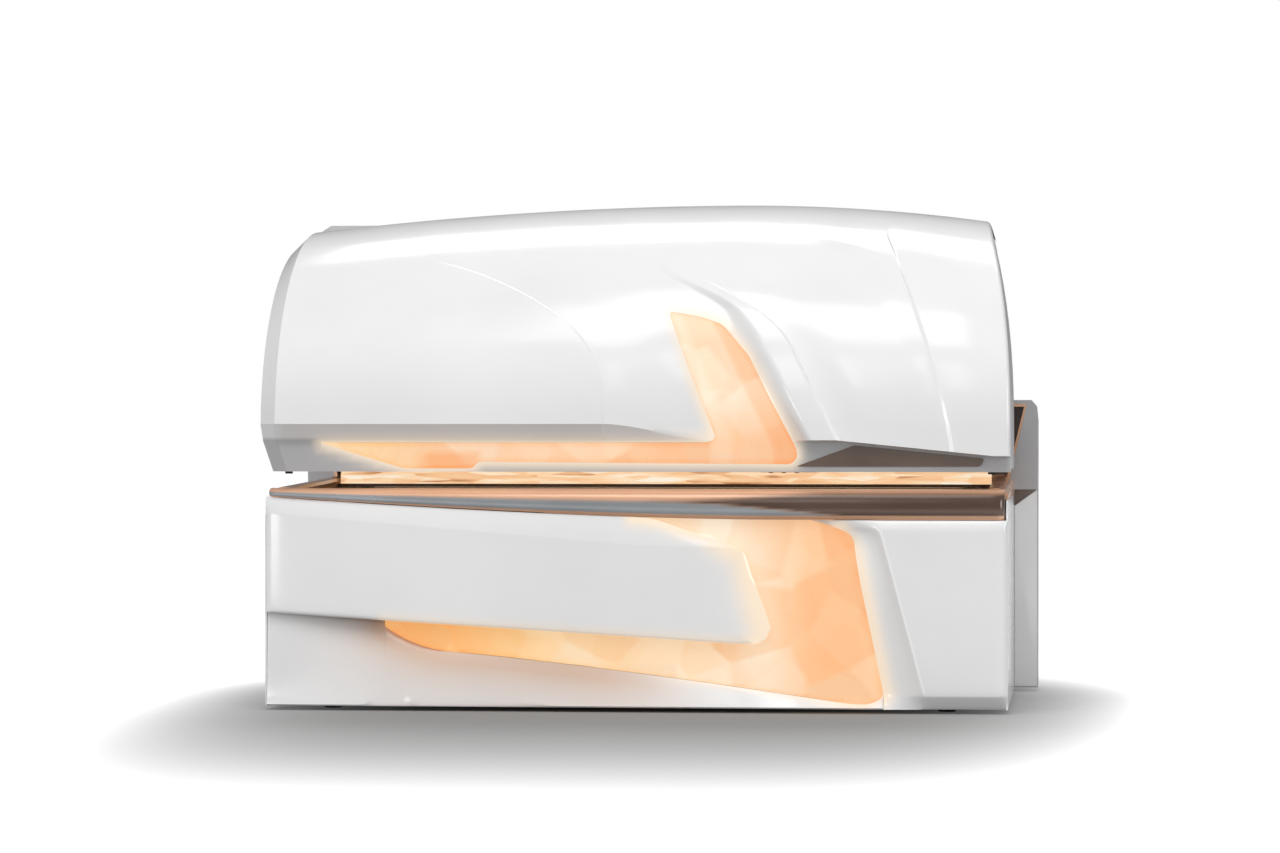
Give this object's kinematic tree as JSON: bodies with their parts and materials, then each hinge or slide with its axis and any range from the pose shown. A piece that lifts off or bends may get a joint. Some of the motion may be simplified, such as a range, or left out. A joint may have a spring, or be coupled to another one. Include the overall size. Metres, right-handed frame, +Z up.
{
  "type": "clamshell tanning bed",
  "caption": "Salon tanning bed: a white base with a lamp bench, a rear housing, and a sculpted lamp canopy that swings up on rear hinges, with glowing inserts and copper trim.",
  "frame": {"origin": "on the floor under the middle of the bed's outline", "axes": "+X along the bed to the right seen from the front, +Y from the front to the rear housing, +Z up"},
  "size_m": [2.456, 1.45, 1.6046],
  "materials": {
    "white_shell": "glossy white moulded shell",
    "glow_lens": "translucent lens lit amber from behind",
    "copper_trim": "metallised copper lacquer",
    "umber_panel": "dark brown gloss",
    "grey_cover": "satin grey moulded cover",
    "clear_acrylic": "clear cast acrylic sheet",
    "lamp_white": "white coated lamp tubes",
    "reflector": "polished sheet",
    "canopy_alloy": "mill finish",
    "frame_steel": "powder coated grey",
    "strut_black": "black enamel",
    "strut_rod": "ground chrome",
    "black_plastic": "fine texture",
    "black_rubber": "moulded rubber"
  },
  "bodies": {
    "base": {"base_front_panel": "white_shell", "base_insert": "glow_lens", "base_plinth": "white_shell", "base_right_cover": "white_shell", "base_end_left": "white_shell", "base_end_right": "white_shell", "rim_front": "copper_trim", "rim_left": "copper_trim", "rim_right": "copper_trim", "bench_acrylic": "clear_acrylic", "bench_lamps": "lamp_white", "bench_reflector": "reflector", "rear_deck": "umber_panel", "bench_light_bar": "glow_lens", "floor_pan": "frame_steel", "base_frame": "frame_steel", "ballast_box": "grey_cover", "levelling_foot_1": "black_rubber", "levelling_foot_2": "black_rubber", "levelling_foot_3": "black_rubber", "levelling_foot_4": "black_rubber", "rear_housing": "grey_cover", "rear_wall_panel": "umber_panel", "rear_wall_trim": "copper_trim", "fan_grille_left": "black_plastic", "fan_grille_right": "black_plastic", "hinge_bracket_left": "frame_steel", "hinge_bracket_right": "frame_steel", "hinge_pin_left": "frame_steel", "hinge_pin_right": "frame_steel"},
    "canopy": {"hinge_leaf_left": "frame_steel", "hinge_leaf_right": "frame_steel", "strut_bracket_left": "frame_steel", "strut_bracket_right": "frame_steel", "canopy_shell": "white_shell", "canopy_insert": "glow_lens", "canopy_plate": "umber_panel", "canopy_end_left": "grey_cover", "canopy_end_right": "grey_cover", "canopy_rear_cover": "grey_cover", "canopy_inner_frame": "white_shell", "canopy_acrylic": "clear_acrylic", "canopy_lamps": "lamp_white", "canopy_reflector": "reflector", "canopy_frame": "canopy_alloy", "lip_buffer_left": "black_rubber", "lip_buffer_right": "black_rubber", "control_panel": "umber_panel"},
    "air_nozzle_1": {"air_nozzle_1": "black_plastic"},
    "air_nozzle_2": {"air_nozzle_2": "black_plastic"},
    "button_1": {"button_1": "copper_trim"},
    "button_2": {"button_2": "copper_trim"},
    "button_3": {"button_3": "copper_trim"},
    "fan_rotor_left": {"fan_rotor_left": "black_plastic"},
    "fan_rotor_right": {"fan_rotor_right": "black_plastic"},
    "strut_barrel_left": {"strut_barrel_left": "strut_black"},
    "strut_barrel_right": {"strut_barrel_right": "strut_black"},
    "strut_rod_left": {"strut_rod_left": "strut_rod"},
    "strut_rod_right": {"strut_rod_right": "strut_rod"}
  },
  "joints": [
    {"name": "canopy_hinge", "type": "hinge", "parent": "base", "child": "canopy", "pos_m": [0, 0.47, 0.99], "axis": [-1, 0, 0], "range_deg": [0, 38]},
    {"name": "strut_left_pivot", "type": "hinge", "parent": "base", "child": "strut_barrel_left", "pos_m": [-1, 0.4, 0.33], "axis": [-1, 0, 0], "range_deg": [0, 1.2]},
    {"name": "strut_right_pivot", "type": "hinge", "parent": "base", "child": "strut_barrel_right", "pos_m": [1, 0.4, 0.33], "axis": [-1, 0, 0], "range_deg": [0, 1.2]},
    {"name": "strut_left_slide", "type": "slide", "parent": "strut_barrel_left", "child": "strut_rod_left", "axis": [0, -0.1405, 0.9901], "range_m": [0, 0.107]},
    {"name": "strut_right_slide", "type": "slide", "parent": "strut_barrel_right", "child": "strut_rod_right", "axis": [0, -0.1405, 0.9901], "range_m": [0, 0.107]},
    {"name": "fan_left_spin", "type": "hinge", "parent": "base", "child": "fan_rotor_left", "pos_m": [-0.6, 0.685, 0.36], "axis": [0, 1, 0], "continuous": true},
    {"name": "fan_right_spin", "type": "hinge", "parent": "base", "child": "fan_rotor_right", "pos_m": [0.6, 0.685, 0.36], "axis": [0, 1, 0], "continuous": true},
    {"name": "nozzle_1_turn", "type": "hinge", "parent": "canopy", "child": "air_nozzle_1", "pos_m": [1.125, -0.3, 0.88], "axis": [0, 0, 1], "range_deg": [-20, 20]},
    {"name": "nozzle_2_turn", "type": "hinge", "parent": "canopy", "child": "air_nozzle_2", "pos_m": [1.125, -0.07, 0.88], "axis": [0, 0, 1], "range_deg": [-20, 20]},
    {"name": "button_1_press", "type": "slide", "parent": "canopy", "child": "button_1", "axis": [0, 0, 1], "range_m": [0, 0.003], "stiffness_N_per_m": 400},
    {"name": "button_2_press", "type": "slide", "parent": "canopy", "child": "button_2", "axis": [0, 0, 1], "range_m": [0, 0.003], "stiffness_N_per_m": 400},
    {"name": "button_3_press", "type": "slide", "parent": "canopy", "child": "button_3", "axis": [0, 0, 1], "range_m": [0, 0.003], "stiffness_N_per_m": 400}
  ],
  "couplings": [
    {"joint": "strut_left_pivot", "follows": "canopy_hinge", "ratio": 0.03127},
    {"joint": "strut_right_pivot", "follows": "canopy_hinge", "ratio": 0.03127},
    {"joint": "strut_left_slide", "follows": "canopy_hinge", "m_per_rad": 0.16073},
    {"joint": "strut_right_slide", "follows": "canopy_hinge", "m_per_rad": 0.16073}
  ]
}
